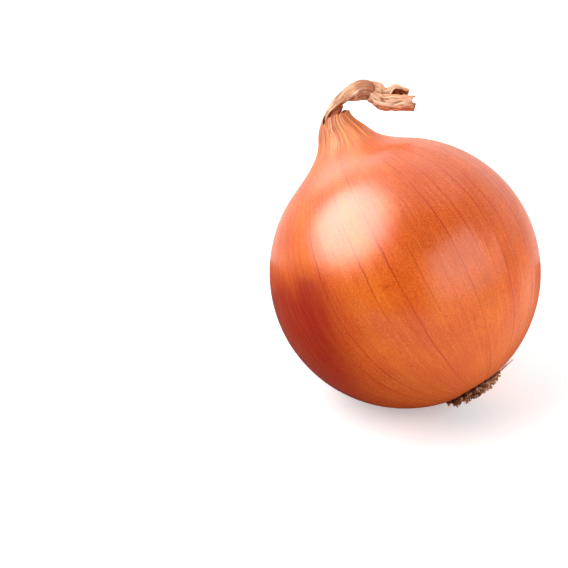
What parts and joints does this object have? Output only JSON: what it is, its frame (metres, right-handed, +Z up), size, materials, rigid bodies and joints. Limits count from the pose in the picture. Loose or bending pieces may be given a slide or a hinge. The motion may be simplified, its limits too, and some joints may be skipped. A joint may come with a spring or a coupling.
{
  "type": "onion",
  "caption": "Whole round onion in its papery skin, with a short drawn-out neck, a dried leaf tail folded to one side and a root plate with clipped root stubs, resting on a small flat spot.",
  "frame": {"origin": "centre of the small flat spot under the bulb that the onion rests on", "axes": "+Z up from that flat spot; the neck leans towards -X and +Y, and the root plate faces +X, -Y and down"},
  "size_m": [0.08, 0.0801, 0.089],
  "materials": {
    "papery_skin": "satin",
    "dried_leaf": "matte",
    "dried_root": "matte",
    "loose_skin": "satin"
  },
  "bodies": {
    "root": {"bulb": "papery_skin", "dry_tail": "dried_leaf", "root_plate": "dried_root", "skin_shred": "loose_skin"}
  },
  "joints": []
}
